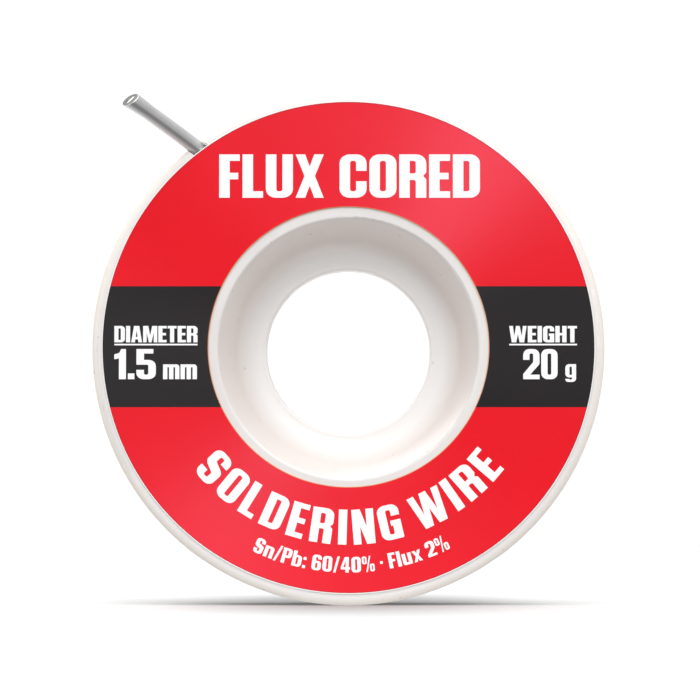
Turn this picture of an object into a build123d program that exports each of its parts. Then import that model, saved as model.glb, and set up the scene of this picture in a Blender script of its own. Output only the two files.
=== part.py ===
from build123d import *
from math import atan2, cos, degrees, hypot, pi, radians, sin, tan
import os

# Solder wire spool: a white moulded spool in two halves, a ring label on its front face,
# and 1.5 m of flux-cored solder wire wound in two layers, whose free end comes out through
# a slot in the front flange.
# Millimetres. The spool's axis is Y and its labelled face looks along -Y. +Z is up, and
# the origin is the middle of the bore.

# Spool
spool_radius = 25.0
spool_width = 16.0
flange_thickness = 1.5
barrel_radius = 14.25
bore_radius = 8.1
web_thickness = 2.5  # both halves together
mouth_radius = 12.7  # the cup's edge in each face
cup_draft = 18.0  # degrees, of the cup's wall
cup_fillet = 2.6
rim_round = 0.75  # the outer edge of each face
rim_inner_round = 0.3
mouth_round = 0.3
bore_round = 0.25

# Joint between the halves: a tongue on the rear half, a groove in the front half
tongue_inner_radius = 11.6
tongue_outer_radius = 12.9
tongue_length = 1.5
groove_depth = 1.7
tongue_chamfer = 0.2

# Label
label_inner_radius = 13.65
label_outer_radius = 24.05
label_thickness = 0.12
label_shift = 0.15  # how far above the bore's centre it was stuck on

# Moulding marks on the rear face
ejector_mark_count = 6
ejector_mark_radius = 1.5
ejector_mark_circle = 19.5
ejector_mark_depth = 0.08

# Wire
wire_diameter = 1.5
flux_diameter = 0.56
# From the outer layer, forward over the edge of the flange's slot and on to the cut end
wire_route = [
    (1.8, -5.75, 16.4),
    (-5.2, -5.7, 17.25),
    (-10.9, -5.55, 17.75),
    (-13.4, -6.4, 18.6),
    (-17.5, -8.9, 21.6),
    (-21.1, -11.15, 23.95),
]
slot_width = 1.62
slot_eye_radius = 1.5  # the round inner end of the slot, where the wire turns forward
slot_eye = (-12.23, 17.81)
anchor_angle = 39.0  # degrees from +X towards +Z
anchor_depth = 1.6
anchor_clearance = 0.05

# Places worked out from the sizes
face_y = spool_width / 2
inner_y = face_y - flange_thickness
web_y = web_thickness / 2
cup_corner_radius = mouth_radius - (face_y - web_y) * tan(radians(cup_draft))
wire_radius = wire_diameter / 2
layer_1_radius = barrel_radius + wire_diameter
layer_2_radius = layer_1_radius + wire_diameter
wire_front_y = -inner_y + wire_radius  # a turn that touches the front flange


def at_angle(radius, angle, y):
    """The point at this radius and this angle, in degrees, from the spool's axis."""
    return Vector(radius * cos(radians(angle)), y, radius * sin(radians(angle)))


def half_outline(side):
    """One half's wall, with its radius along X and its place on the axis along Y."""
    with BuildSketch(Plane.XY) as outline:
        with BuildLine():
            Polyline(
                (bore_radius, 0),
                (bore_radius, side * web_y),
                (cup_corner_radius, side * web_y),
                (mouth_radius, side * face_y),
                (spool_radius, side * face_y),
                (spool_radius, side * inner_y),
                (barrel_radius, side * inner_y),
                (barrel_radius, 0),
                close=True,
            )
        make_face()
        for radius, y, round_radius in (
            (bore_radius, web_y, bore_round),
            (cup_corner_radius, web_y, cup_fillet),
            (mouth_radius, face_y, mouth_round),
            (spool_radius, face_y, rim_round),
            (spool_radius, inner_y, rim_inner_round),
        ):
            corner = outline.vertices().sort_by_distance((radius, side * y))[0]
            fillet(corner, radius=round_radius)
    return outline.sketch


def ring_outline(inner_radius, outer_radius, low_y, high_y):
    """The rectangle that turns into a plain ring around the spool's axis."""
    with BuildSketch(Plane.XY) as outline:
        with Locations(((inner_radius + outer_radius) / 2, (low_y + high_y) / 2)):
            Rectangle(outer_radius - inner_radius, high_y - low_y)
    return outline.sketch


def save(piece, name):
    """Label the piece and write its STEP file."""
    piece.label = name
    export_step(piece, f"parts/{name}.step")


os.makedirs("parts", exist_ok=True)

# The slot runs the way the wire does as it passes through the flange
into_slot, out_of_slot = wire_route[3], wire_route[4]
slot_angle = degrees(atan2(out_of_slot[2] - into_slot[2], out_of_slot[0] - into_slot[0]))
slot_length = 2 * (spool_radius - hypot(*slot_eye))

# The wire's start, hooked into a blind hole in the barrel
anchor_y = wire_front_y + 0.1
radial = at_angle(1, anchor_angle, 0)
anchor_mouth = at_angle(barrel_radius, anchor_angle, anchor_y)
anchor_plane = Plane(origin=anchor_mouth, x_dir=(0, 1, 0), z_dir=-radial)

# Front half of the spool: flange, half of the hub, groove, wire slot and anchor hole
with BuildPart() as spool_front_half:
    revolve(half_outline(-1), axis=Axis.Y)
    groove = ring_outline(tongue_inner_radius, tongue_outer_radius, -groove_depth, 0)
    revolve(groove, axis=Axis.Y, mode=Mode.SUBTRACT)
    with BuildSketch(Plane.XZ.offset(inner_y)):
        with Locations(slot_eye):
            Circle(slot_eye_radius)
            with Locations(Rotation(0, 0, slot_angle)):
                Rectangle(slot_length, slot_width, align=(Align.MIN, Align.CENTER))
    extrude(amount=flange_thickness, mode=Mode.SUBTRACT)
    with BuildSketch(anchor_plane.offset(-wire_radius)):
        Circle(wire_radius + anchor_clearance)
    extrude(amount=anchor_depth + wire_radius, mode=Mode.SUBTRACT)
save(spool_front_half.part, "spool_front_half")

# Rear half of the spool: flange, half of the hub and the tongue
with BuildPart() as spool_rear_half:
    revolve(half_outline(1), axis=Axis.Y)
    tongue = ring_outline(tongue_inner_radius, tongue_outer_radius, -tongue_length, 0)
    revolve(tongue, axis=Axis.Y)
    tongue_rims = spool_rear_half.edges().group_by(Axis.Y)[0]
    chamfer(tongue_rims, length=tongue_chamfer)
    with BuildSketch(Plane.XZ.offset(-face_y)):
        with PolarLocations(ejector_mark_circle, ejector_mark_count):
            Circle(ejector_mark_radius)
    extrude(amount=ejector_mark_depth, mode=Mode.SUBTRACT)
save(spool_rear_half.part, "spool_rear_half")

# Label: a thin printed ring on the front face
with BuildPart() as front_label:
    with BuildSketch(Plane.XZ.offset(face_y)):
        with Locations((0, label_shift)):
            Circle(label_outer_radius)
            Circle(label_inner_radius, mode=Mode.SUBTRACT)
    extrude(amount=label_thickness)
save(front_label.part, "front_label")

# The wound wire's two layers, each the outer shape of its turns
with BuildPart() as solder_inner_layer:
    revolve(ring_outline(barrel_radius, layer_1_radius, -inner_y, inner_y), axis=Axis.Y)
save(solder_inner_layer.part, "solder_inner_layer")

with BuildPart() as solder_outer_layer:
    revolve(ring_outline(layer_1_radius, layer_2_radius, -inner_y, inner_y), axis=Axis.Y)
save(solder_outer_layer.part, "solder_outer_layer")

# The wire's first end, in the anchor hole
with BuildPart() as solder_start:
    with BuildSketch(anchor_plane.offset(anchor_clearance)):
        Circle(wire_radius)
    extrude(amount=anchor_depth - 2 * anchor_clearance)
save(solder_start.part, "solder_start")

# The wire from the outer layer to its cut end: solder around a core of flux. Each bend is
# as large as its two runs allow.
bend_radii = []
for before, corner, after in zip(wire_route, wire_route[1:], wire_route[2:]):
    run_in = Vector(corner) - Vector(before)
    run_out = Vector(after) - Vector(corner)
    shorter_run = min(run_in.length, run_out.length)
    half_turn = radians(run_in.get_angle(run_out) / 2)
    bend_radii.append(0.45 * shorter_run / tan(half_turn))

wound_space = ring_outline(barrel_radius, layer_2_radius, -inner_y, inner_y)
with BuildPart() as solder_lead:
    with BuildLine() as lead_line:
        FilletPolyline(*wire_route, radius=bend_radii)
    with BuildSketch(Plane(origin=lead_line.line @ 0, z_dir=lead_line.line % 0)):
        Circle(wire_radius)
        Circle(flux_diameter / 2, mode=Mode.SUBTRACT)
    sweep()
    swept_volume = solder_lead.part.volume
    revolve(wound_space, axis=Axis.Y, mode=Mode.SUBTRACT)
save(solder_lead.part, "solder_lead")

with BuildPart() as flux_core:
    with BuildLine() as core_line:
        FilletPolyline(*wire_route, radius=bend_radii)
    with BuildSketch(Plane(origin=core_line.line @ 0, z_dir=core_line.line % 0)):
        Circle(flux_diameter / 2)
    sweep()
    revolve(wound_space, axis=Axis.Y, mode=Mode.SUBTRACT)
save(flux_core.part, "flux_core")

# Figures for the report
section = pi * (wire_radius**2 - (flux_diameter / 2) ** 2)
print("lead radii", [round(radius, 2) for radius in bend_radii])
lead_length = sum(edge.length for edge in lead_line.line.edges())
print("lead length", round(lead_length, 2))
print("swept volume over section x length", round(swept_volume / (section * lead_length), 4))
plastic = spool_front_half.part.volume + spool_rear_half.part.volume
print("plastic volume, mm3", round(plastic, 1))
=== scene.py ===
import math
import random

import bmesh
import bpy
from mathutils import Matrix, Vector
from mathutils.geometry import tessellate_polygon


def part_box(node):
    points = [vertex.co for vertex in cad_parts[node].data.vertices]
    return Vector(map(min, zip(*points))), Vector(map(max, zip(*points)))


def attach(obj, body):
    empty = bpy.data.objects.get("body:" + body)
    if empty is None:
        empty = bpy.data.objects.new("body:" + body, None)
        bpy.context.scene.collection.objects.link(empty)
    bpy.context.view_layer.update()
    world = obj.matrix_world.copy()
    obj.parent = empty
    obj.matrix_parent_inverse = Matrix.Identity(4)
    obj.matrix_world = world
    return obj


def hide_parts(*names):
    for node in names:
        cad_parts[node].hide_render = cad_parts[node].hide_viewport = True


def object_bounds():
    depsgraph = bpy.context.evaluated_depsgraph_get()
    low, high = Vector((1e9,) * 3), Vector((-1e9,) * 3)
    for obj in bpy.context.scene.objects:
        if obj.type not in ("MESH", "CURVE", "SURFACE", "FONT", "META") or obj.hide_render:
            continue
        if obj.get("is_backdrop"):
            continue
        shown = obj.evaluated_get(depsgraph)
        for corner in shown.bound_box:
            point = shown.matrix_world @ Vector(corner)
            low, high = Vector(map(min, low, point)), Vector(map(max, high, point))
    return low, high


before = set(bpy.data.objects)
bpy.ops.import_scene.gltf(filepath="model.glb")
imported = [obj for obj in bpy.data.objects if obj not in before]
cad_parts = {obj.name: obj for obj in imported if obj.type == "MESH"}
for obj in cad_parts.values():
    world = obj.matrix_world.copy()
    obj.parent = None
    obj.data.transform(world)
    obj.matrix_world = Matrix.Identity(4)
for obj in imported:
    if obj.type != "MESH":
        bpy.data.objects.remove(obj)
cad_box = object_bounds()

MM = 0.001

# The label, from the frame and from its own print
label_low, label_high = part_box("front_label")
label_middle = (label_low + label_high) / 2
label_face = label_low.y
label_radius = (label_high.x - label_low.x) / 2
label_hole_radius = 13.65 * MM
band_half_height = 5.9 * MM
white_margin = 0.10 * MM
brown_margin = 0.07 * MM
brown_drop = 0.01 * MM  # how far the cut edge falls away at the hole
label_edge_round = 0.03 * MM
painted_edge_shade_width = 0.13 * MM  # painted shade on the ink beside the white margin
letter_thickness = 0.015 * MM

# The wire and its winding
wire_diameter = 1.5 * MM
wire_radius = wire_diameter / 2
coil_low, coil_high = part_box("solder_inner_layer")
layer_1_radius = coil_high.x - wire_radius
layer_2_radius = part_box("solder_outer_layer")[1].x - wire_radius
coil_front = coil_low.y + wire_radius
coil_rear = coil_high.y - wire_radius
turns_per_layer = 7.5
climb_turns = 0.12
points_per_turn = 16
start_depths = (2.1 * MM, 1.4 * MM, 0.6 * MM)  # of its first points, below the inner layer's line
start_inset = 0.07 * MM  # how far behind the first turn it goes into the barrel
unevenness = 0.02 * MM  # how far a turn strays from its place
# From the outer layer, forward over the edge of the flange's slot and on to the cut end
wire_route = [
    (1.8 * MM, -5.75 * MM, 16.4 * MM),
    (-5.2 * MM, -5.7 * MM, 17.25 * MM),
    (-10.9 * MM, -5.55 * MM, 17.75 * MM),
    (-13.4 * MM, -6.4 * MM, 18.6 * MM),
    (-17.5 * MM, -8.9 * MM, 21.6 * MM),
    (-21.1 * MM, -11.15 * MM, 23.95 * MM),
]


# ---------------------------------------------------------------- camera

camera_distance = 350 * MM
camera_below = math.radians(3.0)
camera_aim = Vector((0.15 * MM, 0.0, 0.25 * MM))
view_width = 68.15 * MM  # what the picture's width takes in at the label


def make_camera():
    """In front of the label and a little below the axis."""
    data = bpy.data.cameras.new("camera")
    data.sensor_width = 36.0
    data.lens = data.sensor_width * (camera_distance + label_face) / view_width
    data.clip_start, data.clip_end = 0.01, 20.0
    camera = bpy.data.objects.new("camera", data)
    bpy.context.scene.collection.objects.link(camera)
    to_camera = Vector((0, -math.cos(camera_below), -math.sin(camera_below)))
    camera.location = camera_aim + to_camera * camera_distance
    camera.rotation_mode = "QUATERNION"
    camera.rotation_quaternion = (-to_camera).to_track_quat("-Z", "Y")
    bpy.context.scene.camera = camera


# ---------------------------------------------------------------- small helpers


def add_piece(name, mesh, replaced=()):
    """Puts a finished mesh in the scene as a piece of the object."""
    piece = bpy.data.objects.new(name, mesh)
    bpy.context.scene.collection.objects.link(piece)
    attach(piece, "root")
    if replaced:
        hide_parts(*replaced)
    return piece


def smooth(mesh, angle=math.radians(40)):
    """Smooth shading, with edges sharper than the angle kept."""
    mesh.polygons.foreach_set("use_smooth", [True] * len(mesh.polygons))
    mesh.set_sharp_from_angle(angle=angle)


class Recipe:
    """A material and its node tree. shader is its Principled node."""

    def __init__(self, name):
        self.material = bpy.data.materials.new(name)
        self.material.use_nodes = True
        self.tree = self.material.node_tree
        self.shader = self.tree.nodes["Principled BSDF"]
        self.place = self.add("ShaderNodeTexCoord").outputs["Object"]

    def add(self, kind, inputs=None, **settings):
        """A node, with settings such as operation and its inputs by name or number."""
        node = self.tree.nodes.new(kind)
        for name, value in settings.items():
            setattr(node, name, value)
        for name, value in (inputs or {}).items():
            if isinstance(value, bpy.types.NodeSocket):
                self.tree.links.new(value, node.inputs[name])
            else:
                node.inputs[name].default_value = value
        return node

    def set(self, **inputs):
        """Values or links for the shader's own sockets, with _ for a space in the name."""
        for name, value in inputs.items():
            socket = self.shader.inputs[name.replace("_", " ")]
            if isinstance(value, bpy.types.NodeSocket):
                self.tree.links.new(value, socket)
            else:
                socket.default_value = value

    def noise(self, scale, detail=3.0, roughness=0.5, vector=None, distortion=0.0):
        """Noise from 0 to 1, scale in cycles per metre."""
        node = self.add(
            "ShaderNodeTexNoise",
            {
                "Vector": vector or self.place,
                "Scale": scale,
                "Detail": detail,
                "Roughness": roughness,
                "Distortion": distortion,
            },
        )
        return node.outputs["Fac"]

    def ramp(self, value, low, high, low_out=0.0, high_out=1.0):
        """The value's range from low to high, spread over low_out to high_out."""
        node = self.add(
            "ShaderNodeMapRange",
            {
                "Value": value,
                "From Min": low,
                "From Max": high,
                "To Min": low_out,
                "To Max": high_out,
            },
        )
        return node.outputs["Result"]

    def radius(self, middle_x=0.0, middle_z=0.0):
        """How far each point is from a line that runs along Y."""
        in_plane = self.add(
            "ShaderNodeVectorMath", {0: self.place, 1: (1.0, 0.0, 1.0)}, operation="MULTIPLY"
        ).outputs[0]
        middle = (middle_x, 0.0, middle_z)
        gap = self.add("ShaderNodeVectorMath", {0: in_plane, 1: middle}, operation="DISTANCE")
        return gap.outputs["Value"]

    def mix(self, amount, first, second):
        """A colour from first to second."""
        node = self.add("ShaderNodeMix", data_type="RGBA")
        sockets = (node.inputs["Factor"], node.inputs[6], node.inputs[7])
        for socket, value in zip(sockets, (amount, first, second)):
            if isinstance(value, bpy.types.NodeSocket):
                self.tree.links.new(value, socket)
            else:
                socket.default_value = value
        return node.outputs[2]

    def maths(self, operation, first, second=0.0):
        node = self.add("ShaderNodeMath", {0: first, 1: second}, operation=operation)
        return node.outputs[0]

    def bump(self, height, distance, strength=1.0, after=None):
        """A bump of that height in metres, on top of the bump after."""
        inputs = {"Height": height, "Distance": distance, "Strength": strength}
        if after:
            inputs["Normal"] = after
        return self.add("ShaderNodeBump", inputs).outputs["Normal"]


# ---------------------------------------------------------------- materials


# The plastic's tones of painted light and shade by distance from the axis, set to match the photo: the
# near and far radius of each change, and the tone inside it for the cups or outside it for the rims
cup_painted_shade_and_light = [
    (12.5 * MM, 12.8 * MM, (0.765, 0.705, 0.675, 1)),
    (9.6 * MM, 11.2 * MM, (0.81, 0.79, 0.775, 1)),
]
rim_painted_light_and_shade = [
    (24.1 * MM, 24.3 * MM, (0.79, 0.75, 0.735, 1)),
    (24.35 * MM, 24.7 * MM, (0.85, 0.795, 0.735, 1)),
]


def moulded_plastic():
    """White moulded polystyrene: faint flow mottling, a satin skin, scuffs and a few specks, with painted
    shade and light on its cups and rims.
    """
    r = Recipe("moulded_white_plastic")
    mottle = r.ramp(r.noise(130, detail=4), 0.35, 0.65)
    colour = r.mix(mottle, (0.73, 0.70, 0.685, 1), (0.77, 0.745, 0.73, 1))
    radius = r.radius()
    # Painted shade as a warm tint on the cups' walls, and painted light as a whiter web
    for near, far, tone in cup_painted_shade_and_light:
        colour = r.mix(r.ramp(radius, near, far), tone, colour)
    # Painted light with a warm tint of painted shade, towards the rims' edge
    for near, far, tone in rim_painted_light_and_shade:
        colour = r.mix(r.ramp(radius, near, far), colour, tone)
    speck = r.ramp(r.noise(1500, detail=0), 0.835, 0.85)
    colour = r.mix(r.maths("MULTIPLY", speck, 0.3), colour, (0.30, 0.27, 0.25, 1))
    scuffs = r.ramp(r.noise(900, detail=6, roughness=0.65), 0.45, 0.70)
    orange_peel = r.bump(r.noise(1500, detail=2), 0.000006)
    r.set(
        Base_Color=colour,
        Roughness=r.maths("ADD", r.maths("MULTIPLY", scuffs, 0.14), 0.36),
        Normal=r.bump(r.noise(300, detail=3), 0.00001, after=orange_peel),
        IOR=1.5,
        Subsurface_Weight=0.12,
        Subsurface_Radius=(1.0, 0.75, 0.6),
        Subsurface_Scale=0.0012,
    )
    return r.material


def printed(name, colour, deeper, gloss=0.5, tint=(1, 1, 1, 1), edge_shade=0.0):
    """Ink under a clear film: fine mottling, and a gloss drawn out by the film's fine rings.
    edge_shade is how dark the painted shade is on the last of the ink before the white margin."""
    r = Recipe(name)
    cloud = r.ramp(r.noise(90, detail=3), 0.35, 0.65)
    grain = r.ramp(r.noise(4200, detail=1), 0.3, 0.7)
    blend = r.maths("ADD", r.maths("MULTIPLY", cloud, 0.7), r.maths("MULTIPLY", grain, 0.3))
    film = r.bump(r.noise(650, detail=2), 0.000004)
    rings = r.add("ShaderNodeTangent", direction_type="RADIAL", axis="Y").outputs["Tangent"]
    radius = r.radius(label_middle.x, label_middle.z)
    ink_edge = label_radius - white_margin
    # Painted shade on the last of the ink before the white margin
    painted_edge_shade = r.ramp(radius, ink_edge - painted_edge_shade_width, ink_edge, 0.0, edge_shade)
    inked = r.mix(blend, colour, deeper)
    r.set(
        Base_Color=r.mix(painted_edge_shade, inked, (0.30, 0.01, 0.015, 1)),
        Roughness=r.ramp(grain, 0, 1, 0.35, 0.40),
        Normal=r.bump(grain, 0.000002, after=film),
        Specular_IOR_Level=gloss,
        Specular_Tint=tint,
        Anisotropic=0.88,
        Anisotropic_Rotation=0.25,
        Tangent=rings,
    )
    return r.material


# Angles round the wire of a painted reflection band of even grey and a painted dark reflection line, set
# to match the photo
painted_reflection_band, painted_dark_reflection = math.radians(122), math.radians(170)


def solder_metal():
    """Drawn tin-lead wire: grey, with fine lines along its length and dark smears. A painted
    reflection band of even grey and a painted dark reflection line run along it, where the photo shows
    them."""
    r = Recipe("drawn_solder")
    along = r.add("ShaderNodeSeparateXYZ", {"Vector": r.add("ShaderNodeUVMap").outputs["UV"]})
    turn = r.maths("MULTIPLY", along.outputs["Y"], 2 * math.pi)
    spot = {0: r.maths("MULTIPLY", along.outputs["X"], 0.8)}
    spot[1] = r.maths("MULTIPLY", r.maths("COSINE", turn), 2.2)
    spot[2] = r.maths("MULTIPLY", r.maths("SINE", turn), 2.2)
    lines = r.noise(4.0, detail=4, vector=r.add("ShaderNodeCombineXYZ", spot).outputs[0])
    smears = r.noise(420, detail=4)
    both = r.maths("ADD", r.maths("MULTIPLY", lines, 0.5), r.maths("MULTIPLY", smears, 0.5))
    shade = r.ramp(both, 0.38, 0.62)
    colour = r.mix(shade, (0.66, 0.66, 0.66, 1), (0.79, 0.79, 0.80, 1))
    # Painted reflections: a band of even grey and a dark line along the wire
    from_reflection_band = r.maths("COSINE", r.maths("SUBTRACT", turn, painted_reflection_band))
    colour = r.mix(r.ramp(from_reflection_band, 0.77, 0.90), colour, (0.60, 0.60, 0.60, 1))
    from_dark_reflection = r.maths("COSINE", r.maths("SUBTRACT", turn, painted_dark_reflection))
    colour = r.mix(r.ramp(from_dark_reflection, 0.94, 0.995, 0.0, 0.9), colour, (0.37, 0.37, 0.37, 1))
    r.set(
        Base_Color=colour,
        Metallic=0.85,
        Roughness=r.ramp(smears, 0.3, 0.7, 0.26, 0.40),
        Normal=r.bump(lines, 0.000004, after=r.bump(r.noise(700), 0.000008)),
    )
    return r.material


def sheared_solder():
    """The cut face: dull and dragged by the cutter, with its darker grey painted shade."""
    r = Recipe("sheared_solder")
    stretch = {"Vector": r.place, "Rotation": (0.0, 0.6, 0.0), "Scale": (5000, 5000, 900)}
    drag = r.add("ShaderNodeMapping", stretch)
    marks = r.noise(1.0, detail=3, vector=drag.outputs[0])
    r.set(
        # Painted shade: the cut face's darker grey
        Base_Color=r.mix(r.ramp(marks, 0.35, 0.65), (0.24, 0.24, 0.245, 1), (0.33, 0.33, 0.335, 1)),
        Metallic=0.9,
        Roughness=r.ramp(marks, 0.3, 0.7, 0.45, 0.6),
        Normal=r.bump(marks, 0.000006),
    )
    return r.material


def flux_resin():
    """Pale rosin, cloudy and a little shiny."""
    r = Recipe("rosin_flux")
    r.set(
        Base_Color=r.mix(r.noise(3000), (0.80, 0.78, 0.70, 1), (0.95, 0.93, 0.88, 1)),
        Roughness=r.ramp(r.noise(2500), 0.3, 0.7, 0.2, 0.4),
        Normal=r.bump(r.noise(4000), 0.00001),
    )
    return r.material


# ---------------------------------------------------------------- label


def label_sheet():
    """The sticker: a thin closed ring whose face is cut along the edges of its colours."""
    print_radius = label_radius - white_margin
    hole_print_radius = label_hole_radius + brown_margin
    corners, faces, colours = [], [], []

    def grid(rows, columns, place, colour, wrap=False):
        """Quads over rows and columns of place(row, column), each from 0 to 1."""
        start = len(corners)
        for i in range(rows + 1):
            for j in range(columns + 1):
                corners.append(place(i / rows, j / columns))
        for i in range(rows):
            for j in range(columns):
                a = start + i * (columns + 1) + j
                faces.append((a, a + 1, a + columns + 2, a + columns + 1))
                colours.append(colour)

    def on_face(radius, angle, depth=0.0):
        return (radius * math.cos(angle), depth, radius * math.sin(angle))

    red, black, white, brown, back = range(5)
    band_rows, red_columns, across = 24, 96, 12

    def band_angle(radius, height):
        return math.asin(height / radius)

    def angles():
        """Where the colour grids meet the two margins, once round."""
        found = []
        for side in (0, math.pi):
            for j in range(band_rows):
                found.append((side, (2 * j / band_rows - 1) * band_half_height, None))
            for j in range(red_columns):
                found.append((side, None, j / red_columns))
        return found

    def angle_at(entry, radius):
        side, height, part = entry
        if height is not None:
            return side + band_angle(radius, height)
        edge = band_angle(radius, band_half_height)
        return side + edge + part * (math.pi - 2 * edge)

    for side in (0, math.pi):

        def red_place(v, u, side=side):
            radius = hole_print_radius + (print_radius - hole_print_radius) * v
            return on_face(radius, angle_at((side, None, u), radius))

        def black_place(v, u, side=side):
            height = (2 * u - 1) * band_half_height
            inner = math.sqrt(hole_print_radius**2 - height**2)
            outer = math.sqrt(print_radius**2 - height**2)
            x = inner + (outer - inner) * v
            turn = -1 if side else 1
            return (turn * x, 0.0, turn * height)

        grid(across, red_columns, red_place, red)
        grid(across, band_rows, black_place, black)

    entries = angles()
    thickness = label_high.y - label_low.y

    def ring(profile, at_radius, colour):
        """Strips once round, through the profile's (radius, depth) points."""
        start = len(corners)
        for radius, depth in profile:
            for entry in entries:
                corners.append(on_face(radius, angle_at(entry, at_radius), depth))
        count = len(entries)
        for i in range(len(profile) - 1):
            for j in range(count):
                a, b = start + i * count + j, start + i * count + (j + 1) % count
                faces.append((a, b, b + count, a + count))
                colours.append(colour)

    inset = label_edge_round * 0.3
    outer_edge = [
        (print_radius, 0.0),
        (label_radius - label_edge_round, 0.0),
        (label_radius - inset, inset),
        (label_radius, label_edge_round),
        (label_radius, thickness),
    ]
    inner_edge = [
        (hole_print_radius, 0.0),
        (label_hole_radius, brown_drop),
        (label_hole_radius, thickness),
    ]
    ring(outer_edge, print_radius, white)
    ring(inner_edge[::-1], hole_print_radius, brown)
    ring([(label_radius, thickness), (label_hole_radius, thickness)], print_radius, back)

    mesh = bpy.data.meshes.new("label_sheet")
    mesh.from_pydata(corners, [], faces)
    mesh.polygons.foreach_set("material_index", colours)
    mesh.transform(Matrix.Translation((label_middle.x, label_face, label_middle.z)))
    join_near_corners(mesh)
    paper = printed("label_paper_edge", (0.90, 0.89, 0.87, 1), (0.82, 0.81, 0.79, 1))
    red_inks = (0.80, 0.004, 0.008, 1), (0.76, 0.003, 0.006, 1)
    for material in (
        printed("label_red_ink", *red_inks, gloss=0.5, tint=(1, 0.62, 0.9, 1), edge_shade=0.8),
        printed("label_black_ink", (0.012, 0.008, 0.010, 1), (0.008, 0.006, 0.007, 1), gloss=0.4),
        paper,
        printed("label_cut_edge", (0.60, 0.16, 0.05, 1), (0.75, 0.42, 0.22, 1)),
        paper,
    ):
        mesh.materials.append(material)
    return mesh


def join_near_corners(mesh):
    """Welds the corners that meet and turns every face outwards."""
    work = bmesh.new()
    work.from_mesh(mesh)
    bmesh.ops.remove_doubles(work, verts=work.verts, dist=0.0005 * MM)
    bmesh.ops.recalc_face_normals(work, faces=work.faces)
    work.to_mesh(mesh)
    work.free()


# ---------------------------------------------------------------- lettering

# A heavy, narrow block alphabet, drawn with a capital's height as 1. A contour is a list
# of corners (across, up) or (across, up, corner radius); a glyph is its outline followed
# by its holes.
W, STEM, ARM, BOW, EYE = 0.54, 0.21, 0.15, 0.20, 0.045
LOW, MID_LOW, MID_HIGH, HIGH, SMALL = ARM, 0.5 - ARM / 2, 0.5 + ARM / 2, 1 - ARM, 0.74


def box_contour(left, low, right, high, corner=0.0):
    return [(left, low, corner), (right, low, corner), (right, high, corner), (left, high, corner)]


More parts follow.
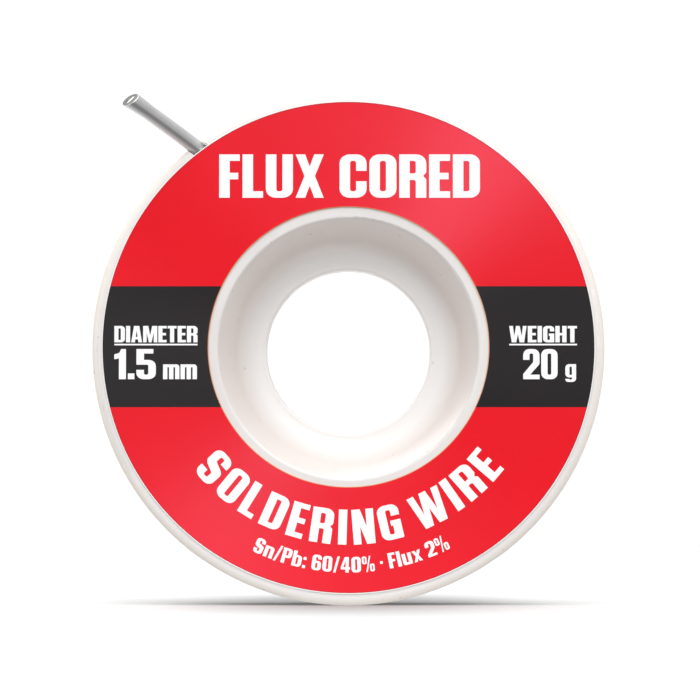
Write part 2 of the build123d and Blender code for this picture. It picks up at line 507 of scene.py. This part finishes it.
EYE_OF_O = box_contour(STEM, LOW, W - STEM, HIGH, EYE)
SMALL_EYE = box_contour(STEM, 0.14, W - STEM, SMALL - 0.14, EYE)
GLYPHS = {
    "A": [
        [(0, 0), (0.19, 0), (0.21, 0.18), (0.34, 0.18), (0.36, 0), (0.55, 0), (0.41, 1), (0.14, 1)],
        [(0.232, 0.33), (0.318, 0.33), (0.275, 0.72)],
    ],
    "C": [
        [(0, 0, BOW), (W, 0, BOW), (W, 0.38), (W - STEM, 0.38), (W - STEM, LOW, EYE), (STEM, LOW, EYE)]
        + [(STEM, HIGH, EYE), (W - STEM, HIGH, EYE), (W - STEM, 0.62), (W, 0.62), (W, 1, BOW)]
        + [(0, 1, BOW)]
    ],
    "D": [
        [(0, 0), (W, 0, BOW), (W, 1, BOW), (0, 1)],
        [(STEM, LOW), (W - STEM, LOW, EYE), (W - STEM, HIGH, EYE), (STEM, HIGH)],
    ],
    "E": [
        [(0, 0), (0.42, 0), (0.42, LOW), (STEM, LOW), (STEM, MID_LOW), (0.39, MID_LOW), (0.39, MID_HIGH)]
        + [(STEM, MID_HIGH), (STEM, HIGH), (0.42, HIGH), (0.42, 1), (0, 1)]
    ],
    "F": [
        [(0, 0), (STEM, 0), (STEM, MID_LOW), (0.38, MID_LOW), (0.38, MID_HIGH), (STEM, MID_HIGH)]
        + [(STEM, HIGH), (0.41, HIGH), (0.41, 1), (0, 1)]
    ],
    "G": [
        [(0, 0, BOW), (W, 0, 0.04), (W, 0.54), (0.28, 0.54), (0.28, 0.39), (W - STEM, 0.39)]
        + [(W - STEM, LOW, EYE), (STEM, LOW, EYE), (STEM, HIGH, EYE), (W - STEM, HIGH, EYE)]
        + [(W - STEM, 0.67), (W, 0.67), (W, 1, BOW), (0, 1, BOW)]
    ],
    "H": [
        [(0, 0), (STEM, 0), (STEM, MID_LOW), (W - STEM, MID_LOW), (W - STEM, 0), (W, 0), (W, 1)]
        + [(W - STEM, 1), (W - STEM, MID_HIGH), (STEM, MID_HIGH), (STEM, 1), (0, 1)]
    ],
    "I": [box_contour(0, 0, STEM, 1)],
    "L": [[(0, 0), (0.41, 0), (0.41, LOW), (STEM, LOW), (STEM, 1), (0, 1)]],
    "M": [
        [(0, 0), (0.18, 0), (0.18, 0.6), (0.29, 0), (0.43, 0), (0.54, 0.6), (0.54, 0), (0.72, 0)]
        + [(0.72, 1), (0.46, 1), (0.36, 0.42), (0.26, 1), (0, 1)]
    ],
    "N": [
        [(0, 0), (0.19, 0), (0.19, 0.50), (0.33, 0), (0.54, 0), (0.54, 1), (0.35, 1)]
        + [(0.35, 0.50), (0.21, 1), (0, 1)]
    ],
    "O": [box_contour(0, 0, W, 1, BOW), EYE_OF_O],
    "P": [
        [(0, 0), (STEM, 0), (STEM, 0.38), (W, 0.38, BOW), (W, 1, BOW), (0, 1)],
        [(STEM, 0.53), (W - STEM, 0.53, EYE), (W - STEM, HIGH, EYE), (STEM, HIGH)],
    ],
    "R": [
        [(0, 0), (STEM, 0), (STEM, 0.41), (W - STEM, 0.41, EYE), (W - STEM, 0), (W, 0), (W, 0.44, 0.07)]
        + [(W - 0.08, 0.50, 0.04), (W, 0.57, 0.08), (W, 1, BOW), (0, 1)],
        [(STEM, 0.56), (W - STEM, 0.56, EYE), (W - STEM, HIGH, EYE), (STEM, HIGH)],
    ],
    "S": [
        [(0, 0, BOW), (W, 0, BOW), (W, 0.53, 0.16), (STEM, 0.66, 0.04), (STEM, HIGH, EYE)]
        + [(W - STEM, HIGH, EYE), (W - STEM, 0.69), (W, 0.69), (W, 1, BOW), (0, 1, BOW), (0, 0.47, 0.16)]
        + [(W - STEM, 0.34, 0.04), (W - STEM, LOW, EYE), (STEM, LOW, EYE), (STEM, 0.31), (0, 0.31)]
    ],
    "T": [
        [(0.12, 0), (0.33, 0), (0.33, HIGH), (0.45, HIGH), (0.45, 1), (0, 1), (0, HIGH), (0.12, HIGH)]
    ],
    "U": [
        [(0, 0, BOW), (W, 0, BOW), (W, 1), (W - STEM, 1), (W - STEM, LOW, EYE), (STEM, LOW, EYE)]
        + [(STEM, 1), (0, 1)]
    ],
    "W": [
        [(0.12, 0), (0.34, 0), (0.42, 0.5), (0.50, 0), (0.72, 0), (0.84, 1), (0.66, 1), (0.60, 0.38)]
        + [(0.51, 1), (0.33, 1), (0.24, 0.38), (0.18, 1), (0, 1)]
    ],
    "X": [
        [(0, 0), (0.19, 0), (0.28, 0.28), (0.37, 0), (0.56, 0), (0.385, 0.5), (0.56, 1), (0.37, 1)]
        + [(0.28, 0.72), (0.19, 1), (0, 1), (0.175, 0.5)]
    ],
    "b": [[(0, 0), (W, 0, BOW), (W, SMALL, BOW), (STEM, SMALL), (STEM, 1), (0, 1)], SMALL_EYE],
    "g": [
        [(0, 0, BOW), (W - STEM, 0), (W - STEM, -0.12, EYE), (STEM, -0.12), (STEM, -0.08), (0, -0.08)]
        + [(0, -0.25, 0.14), (W, -0.25, BOW), (W, SMALL), (0, SMALL, BOW)],
        SMALL_EYE,
    ],
    "l": [box_contour(0, 0, STEM, 1)],
    "m": [
        [(0, 0), (STEM, 0), (STEM, 0.60, 0.03), (0.29, 0.60, 0.03), (0.29, 0), (0.50, 0)]
        + [(0.50, 0.60, 0.03), (0.58, 0.60, 0.03), (0.58, 0), (0.79, 0), (0.79, SMALL, 0.14), (0, SMALL)]
    ],
    "n": [
        [(0, 0), (STEM, 0), (STEM, 0.60, EYE), (W - STEM, 0.60, EYE), (W - STEM, 0), (W, 0)]
        + [(W, SMALL, 0.15), (0, SMALL)]
    ],
    "u": [
        [(0, 0, 0.15), (W, 0), (W, SMALL), (W - STEM, SMALL), (W - STEM, 0.14, EYE), (STEM, 0.14, EYE)]
        + [(STEM, SMALL), (0, SMALL)]
    ],
    "x": [
        [(0, 0), (0.18, 0), (0.25, 0.2), (0.32, 0), (0.50, 0), (0.345, 0.37), (0.50, SMALL)]
        + [(0.32, SMALL), (0.25, 0.54), (0.18, SMALL), (0, SMALL), (0.155, 0.37)]
    ],
    "0": [box_contour(0, 0, W, 1, BOW), EYE_OF_O],
    "1": [
        [(0.13, 0), (0.325, 0), (0.325, 1), (0.19, 1), (0.14, 0.87, 0.1), (0, 0.82), (0, 0.66)]
        + [(0.13, 0.69)]
    ],
    "2": [
        [(0, 0), (W, 0), (W, LOW), (0.23, LOW), (W, 0.50, 0.1), (W, 1, BOW), (0, 1, BOW), (0, 0.64)]
        + [(STEM, 0.64), (STEM, HIGH, EYE), (W - STEM, HIGH, EYE), (W - STEM, 0.57, 0.06), (0, 0.17)]
    ],
    "4": [
        [(0.27, 0), (0.455, 0), (0.455, 0.20), (0.53, 0.20), (0.53, 0.35), (0.455, 0.35), (0.455, 1)]
        + [(0.22, 1), (0, 0.35), (0, 0.20), (0.27, 0.20)],
        [(0.14, 0.35), (0.27, 0.35), (0.27, 0.76)],
    ],
    "5": [
        [(0, 0, BOW), (W, 0, BOW), (W, 0.64, BOW), (STEM, 0.64), (STEM, HIGH), (0.47, HIGH), (0.47, 1)]
        + [(0, 1), (0, 0.48), (W - STEM, 0.48, EYE), (W - STEM, LOW, EYE), (STEM, LOW, EYE)]
        + [(STEM, 0.31), (0, 0.31)]
    ],
    "6": [
        [(0, 0, BOW), (W, 0, BOW), (W, 0.61, BOW), (STEM, 0.61), (STEM, HIGH, EYE), (W - STEM, HIGH, EYE)]
        + [(W - STEM, 0.72), (W, 0.72), (W, 1, BOW), (0, 1, BOW)],
        box_contour(STEM, LOW, W - STEM, 0.47, EYE),
    ],
    "/": [[(0, -0.03), (0.13, -0.03), (0.34, 1.03), (0.21, 1.03)]],
    ":": [box_contour(0, 0, 0.17, 0.19), box_contour(0, 0.53, 0.17, 0.72)],
    ".": [box_contour(0, 0, 0.18, 0.19)],
    "·": [box_contour(0, 0.40, 0.15, 0.57)],
    "%": [
        box_contour(0, 0.5, 0.27, 1, 0.11),
        box_contour(0.1, 0.6, 0.17, 0.9, 0.03),
        [(0.20, -0.02), (0.28, -0.02), (0.50, 1.02), (0.42, 1.02)],
        box_contour(0.43, 0, 0.70, 0.5, 0.11),
        box_contour(0.53, 0.1, 0.60, 0.4, 0.03),
    ],
}
HOLLOW = {"%": [(0, 1), (2,), (3, 4)], ":": [(0,), (1,)]}  # glyphs of more than one outline
TIGHT, SPACE = 0.055, 0.26


def rounded(contour, steps=5):
    """The contour's corners with their arcs put in."""
    found = []
    count = len(contour)
    for i, corner in enumerate(contour):
        here = Vector(corner[:2])
        radius = corner[2] if len(corner) > 2 else 0.0
        if not radius:
            found.append(here)
            continue
        back = (Vector(contour[i - 1][:2]) - here).normalized()
        ahead = (Vector(contour[(i + 1) % count][:2]) - here).normalized()
        half = back.angle(ahead) / 2
        start, end = here + back * radius / math.tan(half), here + ahead * radius / math.tan(half)
        middle = here + (back + ahead).normalized() * radius / math.sin(half)
        a, b = start - middle, end - middle
        turn = a.angle_signed(b)
        for step in range(steps + 1):
            angle = -turn * step / steps
            spun = Vector(
                (
                    a.x * math.cos(angle) - a.y * math.sin(angle),
                    a.x * math.sin(angle) + a.y * math.cos(angle),
                )
            )
            found.append(middle + spun)
    return found


def glyph_width(letter):
    return max(corner[0] for contour in GLYPHS[letter] for corner in contour)


def text_width(text, gap):
    """The line's width with a capital's height as 1."""
    widths = [SPACE if letter == " " else glyph_width(letter) + gap for letter in text]
    return sum(widths) - gap


def letters(text, height, squeeze, gap, place):
    """The line as a thin closed mesh. place turns (across, up), in metres from the line's
    middle at its foot, into a point on the label, for the letter centred at the third
    value."""
    corners, faces = [], []
    across = -text_width(text, gap) / 2
    for letter in text:
        if letter == " ":
            across += SPACE
            continue
        wide = glyph_width(letter)
        centre = (across + wide / 2) * height * squeeze
        contours = GLYPHS[letter]
        for group in HOLLOW.get(letter, [tuple(range(len(contours)))]):
            outlines = [rounded(contours[k]) for k in group]
            start = len(corners)
            flat = [point for outline in outlines for point in outline]
            for depth in (-letter_thickness, 0.0):
                for point in flat:
                    x = (across + point.x) * height * squeeze
                    spot = place(x - centre, point.y * height, centre)
                    corners.append((spot[0], label_face + depth, spot[1]))
            shown = tessellate_polygon([[(p.x, p.y, 0) for p in outline] for outline in outlines])
            for triangle in shown:
                faces.append([start + k for k in triangle])
                faces.append([start + len(flat) + k for k in reversed(triangle)])
            first = start
            for outline in outlines:
                for k in range(len(outline)):
                    a, b = first + k, first + (k + 1) % len(outline)
                    faces.append([a, b, b + len(flat), a + len(flat)])
                first += len(outline)
        across += wide + gap
    return corners, faces


def straight_line(text, height, width, left, foot, ink, name, gap=TIGHT):
    """A level line of lettering, from left, with its feet at foot above the label's middle."""
    squeeze = width / (text_width(text, gap) * height)

    def place(x, up, centre):
        return (label_middle.x + left + width / 2 + centre + x, label_middle.z + foot + up)

    return lettering_piece(name, letters(text, height, squeeze, gap, place), ink)


def curved_line(text, foot_radius, top_radius, sweep, middle, ink, name, gap):
    """A line round the bottom of the label, its letters' tops towards the hub. sweep is the
    angle it covers at its feet and middle is where its middle lies, both in degrees."""
    height = foot_radius - top_radius
    squeeze = math.radians(sweep) * foot_radius / (text_width(text, gap) * height)

    def place(x, up, centre):
        angle = math.radians(middle) + centre / foot_radius
        outward = Vector((math.cos(angle), math.sin(angle)))
        along = Vector((-outward.y, outward.x))
        spot = outward * (foot_radius - up) + along * x
        return (label_middle.x + spot.x, label_middle.z + spot.y)

    return lettering_piece(name, letters(text, height, squeeze, gap, place), ink)


def lettering_piece(name, made, ink):
    corners, faces = made
    mesh = bpy.data.meshes.new(name)
    mesh.from_pydata(corners, [], faces)
    join_near_corners(mesh)
    mesh.materials.append(ink)
    return add_piece(name, mesh)


def rule(name, left, width, low, thick, ink):
    """An underline, as a thin closed bar."""
    x0, x1 = label_middle.x + left, label_middle.x + left + width
    z0, z1 = label_middle.z + low, label_middle.z + low + thick
    y0, y1 = label_face - letter_thickness, label_face
    corners = [(x, y, z) for y in (y0, y1) for x, z in ((x0, z0), (x1, z0), (x1, z1), (x0, z1))]
    faces = [(0, 1, 2, 3), (7, 6, 5, 4), (0, 4, 5, 1), (1, 5, 6, 2), (2, 6, 7, 3), (3, 7, 4, 0)]
    return lettering_piece(name, (corners, faces), ink)


def all_lettering():
    ink = printed("label_white_ink", (0.95, 0.95, 0.95, 1), (0.92, 0.92, 0.92, 1), gloss=0.3)
    straight_line("FLUX CORED", 4.25 * MM, 25.45 * MM, -12.62 * MM, 14.55 * MM, ink, "lettering_title")
    straight_line("DIAMETER", 1.6 * MM, 8.1 * MM, -22.8 * MM, 0.42 * MM, ink, "lettering_diameter")
    rule("rule_diameter", -22.8 * MM, 8.1 * MM, 0.13 * MM, 0.15 * MM, ink)
    straight_line("1.5", 2.94 * MM, 4.05 * MM, -22.8 * MM, -3.17 * MM, ink, "lettering_diameter_value")
    straight_line("mm", 1.95 * MM, 3.3 * MM, -18.05 * MM, -3.17 * MM, ink, "lettering_diameter_unit")
    straight_line("WEIGHT", 1.6 * MM, 6.6 * MM, 15.65 * MM, 0.42 * MM, ink, "lettering_weight")
    rule("rule_weight", 15.65 * MM, 6.6 * MM, 0.13 * MM, 0.15 * MM, ink)
    straight_line("20", 2.94 * MM, 3.35 * MM, 17.0 * MM, -3.17 * MM, ink, "lettering_weight_value")
    straight_line("g", 1.75 * MM, 1.05 * MM, 21.1 * MM, -3.0 * MM, ink, "lettering_weight_unit")
    curved_line(
        "SOLDERING WIRE", 19.25 * MM, 15.85 * MM, 103.0, -89.75, ink, "lettering_product", 0.19
    )
    curved_line(
        "Sn/Pb: 60/40% · Flux 2%", 21.95 * MM, 20.45 * MM, 52.0, -89.2, ink, "lettering_alloy", 0.10
    )


# ---------------------------------------------------------------- wire


def wire_points():
    """The wire's control points: out of the anchor hole, up one layer of turns and back
    over it in the next, then along the route to the cut end."""
    leave_angle = math.atan2(wire_route[0][2], wire_route[0][0])
    turns = 2 * turns_per_layer + climb_turns
    start_angle = leave_angle - turns * 2 * math.pi
    swell = 1 / math.cos(math.pi / points_per_turn)  # the spline runs inside its points
    uneven = random.Random(7)

    def at(radius, angle, y):
        return Vector((radius * math.cos(angle), y, radius * math.sin(angle)))

    points = []
    for depth in start_depths:
        points.append(at(layer_1_radius - depth, start_angle, coil_front + start_inset))
    steps = int(turns * points_per_turn)
    for step in range(1, steps):
        turn = step / points_per_turn
        if turn < turns_per_layer:
            climb, along = 0.0, turn / turns_per_layer
        elif turn < turns_per_layer + climb_turns:
            climb, along = (turn - turns_per_layer) / climb_turns, 1.0
        else:
            climb, along = 1.0, (turns - turn) / turns_per_layer
        radius = layer_1_radius + climb * (layer_2_radius - layer_1_radius)
        y = coil_front + along * (coil_rear - coil_front)
        y += uneven.uniform(-unevenness, unevenness) if 0.02 < along < 0.98 else 0.0
        points.append(at(radius * swell, start_angle + turn * 2 * math.pi, y))
    return points + [Vector(point) for point in wire_route]


def spline_path(points, steps=4):
    """Points along the NURBS spline that has these control points."""
    curve = bpy.data.curves.new("wire_line", "CURVE")
    curve.dimensions = "3D"
    curve.resolution_u = steps
    spline = curve.splines.new("NURBS")
    spline.points.add(len(points) - 1)
    for point, place in zip(spline.points, points):
        point.co = (*place, 1.0)
    spline.order_u = 3
    spline.use_endpoint_u = True
    holder = bpy.data.objects.new("wire_line", curve)
    bpy.context.scene.collection.objects.link(holder)
    finished = holder.evaluated_get(bpy.context.evaluated_depsgraph_get())
    line = bpy.data.meshes.new_from_object(finished)
    path = [vertex.co.copy() for vertex in line.vertices]
    bpy.data.objects.remove(holder)
    bpy.data.curves.remove(curve)
    bpy.data.meshes.remove(line)
    return path


nip_length = 1.5 * MM  # how far back the cutters squeezed the end
nip_wide, nip_thin = 0.87 * MM, 0.68 * MM  # half sizes of the squeezed end
slant_wide, slant_thin = -0.33, 0.30  # how the cut slopes, across and through the squeeze
slit_half_length, slit_half_width = 0.56 * MM, 0.17 * MM
slit_turn = math.radians(9)
slit_depth = 0.25 * MM
lip_wide, lip_thin = 0.91, 0.89  # the lip's inner edge, as parts of the cut end's half sizes
lip_rise = 0.03 * MM
flux_profile = [(1.0, -0.24), (1.0, -0.05), (0.8, -0.01), (0.4, 0.01)]  # scale, height in mm
sides = 24


def end_frame(path):
    """The cut end's middle, the way the wire points there, and its wide and thin directions."""
    along = (path[-1] - path[-3]).normalized()
    wide = Vector((0, -1, 0)).cross(along).normalized()
    if wide.z < 0:
        wide.negate()
    return path[-1], along, wide, along.cross(wide)


def slit_outline():
    """The squeezed flux core's outline as (wide, thin) pairs, turned a little in the end."""
    found = []
    for k in range(sides):
        angle = 2 * math.pi * k / sides
        a = slit_half_length * math.copysign(abs(math.cos(angle)) ** 0.7, math.cos(angle))
        b = slit_half_width * math.sin(angle)
        found.append(
            (
                a * math.cos(slit_turn) - b * math.sin(slit_turn),
                a * math.sin(slit_turn) + b * math.cos(slit_turn),
            )
        )
    return found


def solder_wire(path):
    """The whole wire as one closed tube, with its end nipped and its core's slit open."""
    tip, end_along, end_wide, end_thin = end_frame(path)
    lengths = [0.0]
    for before, after in zip(path, path[1:]):
        lengths.append(lengths[-1] + (after - before).length)
    total = lengths[-1]
    corners, faces, maps = [], [], []
    across = (path[1] - path[0]).orthogonal().normalized()
    for i, here in enumerate(path):
        ahead, behind = path[min(i + 1, len(path) - 1)], path[max(i - 1, 0)]
        along = (ahead - behind).normalized()
        across = (across - along * across.dot(along)).normalized()
        beside = along.cross(across)
        nip = max(0.0, 1 - (total - lengths[i]) / nip_length)
        nip = nip * nip * (3 - 2 * nip)
        for k in range(sides):
            angle = 2 * math.pi * k / sides
            spot = (across * math.cos(angle) + beside * math.sin(angle)) * wire_radius
            if nip:
                wide, thin = spot.dot(end_wide), spot.dot(end_thin)
                wide *= 1 + nip * (nip_wide / wire_radius - 1)
                thin *= 1 + nip * (nip_thin / wire_radius - 1)
                slope = nip * (slant_wide * wide + slant_thin * thin)
                spot = end_wide * wide + end_thin * thin + end_along * slope
            corners.append(here + spot)
            maps.append((lengths[i] / (10 * MM), k / sides))
    for i in range(len(path) - 1):
        for k in range(sides):
            a, b = i * sides + k, i * sides + (k + 1) % sides
            faces.append((a, b, b + sides, a + sides))
    faces.append(tuple(reversed(range(sides))))

    # The cut face: a rounded lip, the flat, and the slit's wall and floor
    last = (len(path) - 1) * sides
    ring = [corners[last + k] - tip for k in range(sides)]

    def end_point(wide, thin, deep=0.0):
        slope = slant_wide * wide + slant_thin * thin
        return tip + end_wide * wide + end_thin * thin + end_along * (slope + deep)

    def add_ring(spots):
        start = len(corners)
        corners.extend(spots)
        maps.extend([(total / (10 * MM), k / sides) for k in range(sides)])
        return start

    inner = [(v.dot(end_wide) * lip_wide, v.dot(end_thin) * lip_thin) for v in ring]
    lip = add_ring([end_point(*spot, lip_rise) for spot in inner])
    # The slit's points are matched to the rim's by their direction
    outline = slit_outline()

    def direction(wide, thin):
        return math.atan2(thin / nip_thin, wide / nip_wide)

    rim_angle = direction(ring[0].dot(end_wide), ring[0].dot(end_thin))
    rim_next = direction(ring[1].dot(end_wide), ring[1].dot(end_thin))
    forwards = math.sin(rim_next - rim_angle) > 0
    order = sorted(range(sides), key=lambda k: math.atan2(outline[k][1], outline[k][0]))
    if not forwards:
        order.reverse()

    def turn_from_rim(k):
        wide, thin = outline[order[k]]
        return abs(math.remainder(math.atan2(thin, wide) - rim_angle, 2 * math.pi))

    nearest = min(range(sides), key=turn_from_rim)
    order = order[nearest:] + order[:nearest]
    slit_rim = add_ring([end_point(*outline[k], lip_rise) for k in order])
    slit_floor = add_ring([end_point(*outline[k], -slit_depth) for k in order])
    for low, high in ((last, lip), (lip, slit_rim), (slit_rim, slit_floor)):
        for k in range(sides):
            following = (k + 1) % sides
            faces.append((low + k, low + following, high + following, high + k))
    faces.append(tuple(slit_floor + k for k in range(sides)))
    cut_faces = 2 * sides + 1  # the flat, the slit's wall and its floor

    mesh = bpy.data.meshes.new("solder_wire")
    mesh.from_pydata([tuple(c) for c in corners], [], faces)
    layer = mesh.uv_layers.new(name="along_wire")
    for polygon in mesh.polygons:
        loops = list(polygon.loop_indices)
        spots = [maps[mesh.loops[k].vertex_index] for k in loops]
        crosses_seam = max(v for _, v in spots) - min(v for _, v in spots) > 0.5
        for k, (u, v) in zip(loops, spots):
            layer.data[k].uv = (u, v + 1 if crosses_seam and v < 0.5 else v)
    drawn = len(faces) - cut_faces
    mesh.polygons.foreach_set("material_index", [0] * drawn + [1] * cut_faces)
    smooth(mesh, math.radians(35))
    return mesh


def flux_end(path):
    """The flux core where it shows: a slit-shaped plug, a little below the cut face."""
    tip, along, wide, thin = end_frame(path)
    outline = [(a * 0.98, b * 0.98) for a, b in slit_outline()]
    corners, faces = [], []
    for scale, deep in flux_profile:
        for a, b in outline:
            slope = (slant_wide * a + slant_thin * b) * scale
            corners.append(tip + (wide * a + thin * b) * scale + along * (slope + deep * MM))
    for i in range(3):
        for k in range(sides):
            a, b = i * sides + k, i * sides + (k + 1) % sides
            faces.append((a, b, b + sides, a + sides))
    faces.append(tuple(reversed(range(sides))))
    faces.append(tuple(3 * sides + k for k in range(sides)))
    mesh = bpy.data.meshes.new("flux_core_end")
    mesh.from_pydata([tuple(c) for c in corners], [], faces)
    join_near_corners(mesh)
    smooth(mesh)
    return mesh


# ---------------------------------------------------------------- floor and light

# The studio is a white sweep, brighter behind the object than in front of it
sky_front, sky_back, sky_seen = 0.30, 0.90, 1.1
floor_front, floor_back = 0.40, 1.30
# What the camera alone sees of the floor: its grey, and a soft oval of shade that is long in
# y and darkest in its middle
floor_grey, shade_grey = (0.79, 0.79, 0.79, 1), (0.38, 0.38, 0.38, 1)
shade_middle, shade_size = (0.0, 6 * MM, 0.0), (27 * MM, 85 * MM, 1e6)
sun_place, sun_strength, sun_width = (0.0, -0.5, 0.85), 2.5, math.radians(75)
softboxes = [  # name, place, side, power in watts
    ("gloss_softbox", (0.133, -0.65, 0.224), 0.09, 1.05),
    ("fill_softbox", (-0.30, -0.60, 0.02), 0.20, 0.45),
    ("rear_softbox", (-0.2, 0.55, 0.35), 0.40, 1.2),
]


def aim(lamp, place):
    """Puts the lamp there, shining at the origin."""
    bpy.context.scene.collection.objects.link(lamp)
    lamp.location = place
    lamp.rotation_mode = "QUATERNION"
    lamp.rotation_quaternion = Vector(place).to_track_quat("Z", "Y")


def make_floor():
    """A plain floor. The camera sees its greys. To all other rays it is a glow, which stands
    for the light that a white floor gives the object."""
    reach, level = 3.0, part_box("spool_front_half")[0].z
    square = [(x * reach, y * reach, level) for x, y in ((-1, -1), (1, -1), (1, 1), (-1, 1))]
    mesh = bpy.data.meshes.new("floor")
    mesh.from_pydata(square, [], [(0, 1, 2, 3)])
    floor = bpy.data.objects.new("floor", mesh)
    bpy.context.scene.collection.objects.link(floor)
    r = Recipe("studio_floor")
    seen = r.add("ShaderNodeLightPath").outputs["Is Camera Ray"]
    depth = r.add("ShaderNodeSeparateXYZ", {"Vector": r.place}).outputs["Y"]
    glow = r.ramp(depth, -0.03, 0.03, floor_front, floor_back)
    offset = r.add("ShaderNodeVectorMath", {0: r.place, 1: shade_middle}, operation="SUBTRACT")
    spread = r.add("ShaderNodeVectorMath", {0: offset.outputs[0], 1: shade_size}, operation="DIVIDE")
    away = r.add("ShaderNodeVectorMath", {0: spread.outputs[0]}, operation="LENGTH").outputs["Value"]
    faded = r.add("ShaderNodeMapRange", {"Value": away}, interpolation_type="SMOOTHSTEP")
    shown = r.mix(faded.outputs["Result"], shade_grey, floor_grey)
    r.set(
        Base_Color=r.mix(seen, (0, 0, 0, 1), shown),
        Roughness=0.8,
        Specular_IOR_Level=0.0,
        Emission_Color=(1, 1, 1, 1),
        Emission_Strength=r.maths("MULTIPLY", glow, r.maths("SUBTRACT", 1.0, seen)),
    )
    mesh.materials.append(r.material)
    floor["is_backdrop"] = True


def make_sky():
    """White where the camera sees it, and a soft fill of light elsewhere."""
    world = bpy.data.worlds.new("studio")
    bpy.context.scene.world = world
    world.use_nodes = True
    tree = world.node_tree
    sky = tree.nodes["Background"]
    sky.inputs["Color"].default_value = (1, 1, 1, 1)
    direction = tree.nodes.new("ShaderNodeTexCoord")
    split = tree.nodes.new("ShaderNodeSeparateXYZ")
    tree.links.new(direction.outputs["Generated"], split.inputs["Vector"])
    light = tree.nodes.new("ShaderNodeMapRange")
    light.inputs["From Min"].default_value = -1.0
    light.inputs["To Min"].default_value = sky_front
    light.inputs["To Max"].default_value = sky_back
    tree.links.new(split.outputs["Y"], light.inputs["Value"])
    seen = tree.nodes.new("ShaderNodeLightPath")
    strength = tree.nodes.new("ShaderNodeMix")
    strength.inputs[3].default_value = sky_seen
    tree.links.new(seen.outputs["Is Camera Ray"], strength.inputs["Factor"])
    tree.links.new(light.outputs["Result"], strength.inputs[2])
    tree.links.new(strength.outputs[0], sky.inputs["Strength"])


def make_lights():
    data = bpy.data.lights.new("sky_window", "SUN")
    data.energy = sun_strength
    data.angle = sun_width
    aim(bpy.data.objects.new("sky_window", data), sun_place)
    for name, place, side, power in softboxes:
        data = bpy.data.lights.new(name, "AREA")
        data.shape = "SQUARE"
        data.size = side
        data.energy = power
        aim(bpy.data.objects.new(name, data), place)
    bpy.context.scene.view_settings.view_transform = "Standard"


# ---------------------------------------------------------------- the whole scene

make_camera()
path = spline_path(wire_points())
metal, resin, plastic = solder_metal(), flux_resin(), moulded_plastic()

flux_mesh = flux_end(path)
flux_mesh.materials.append(resin)
flux_piece = add_piece("flux_core_end", flux_mesh, ["flux_core"])

wire_mesh = solder_wire(path)
wire_mesh.materials.append(metal)
wire_mesh.materials.append(sheared_solder())
wire_nodes = ["solder_inner_layer", "solder_outer_layer", "solder_start", "solder_lead"]
wire_piece = add_piece("solder_wire", wire_mesh, wire_nodes)
tuple(path[0])
[tuple(point) for point in path]

add_piece("label_sheet", label_sheet(), ["front_label"])
all_lettering()

for node in ("spool_front_half", "spool_rear_half"):
    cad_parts[node].material_slots[0].material = plastic

make_floor()
make_sky()
make_lights()

boxes = [[list(corner) for corner in found] for found in (cad_box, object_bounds())]
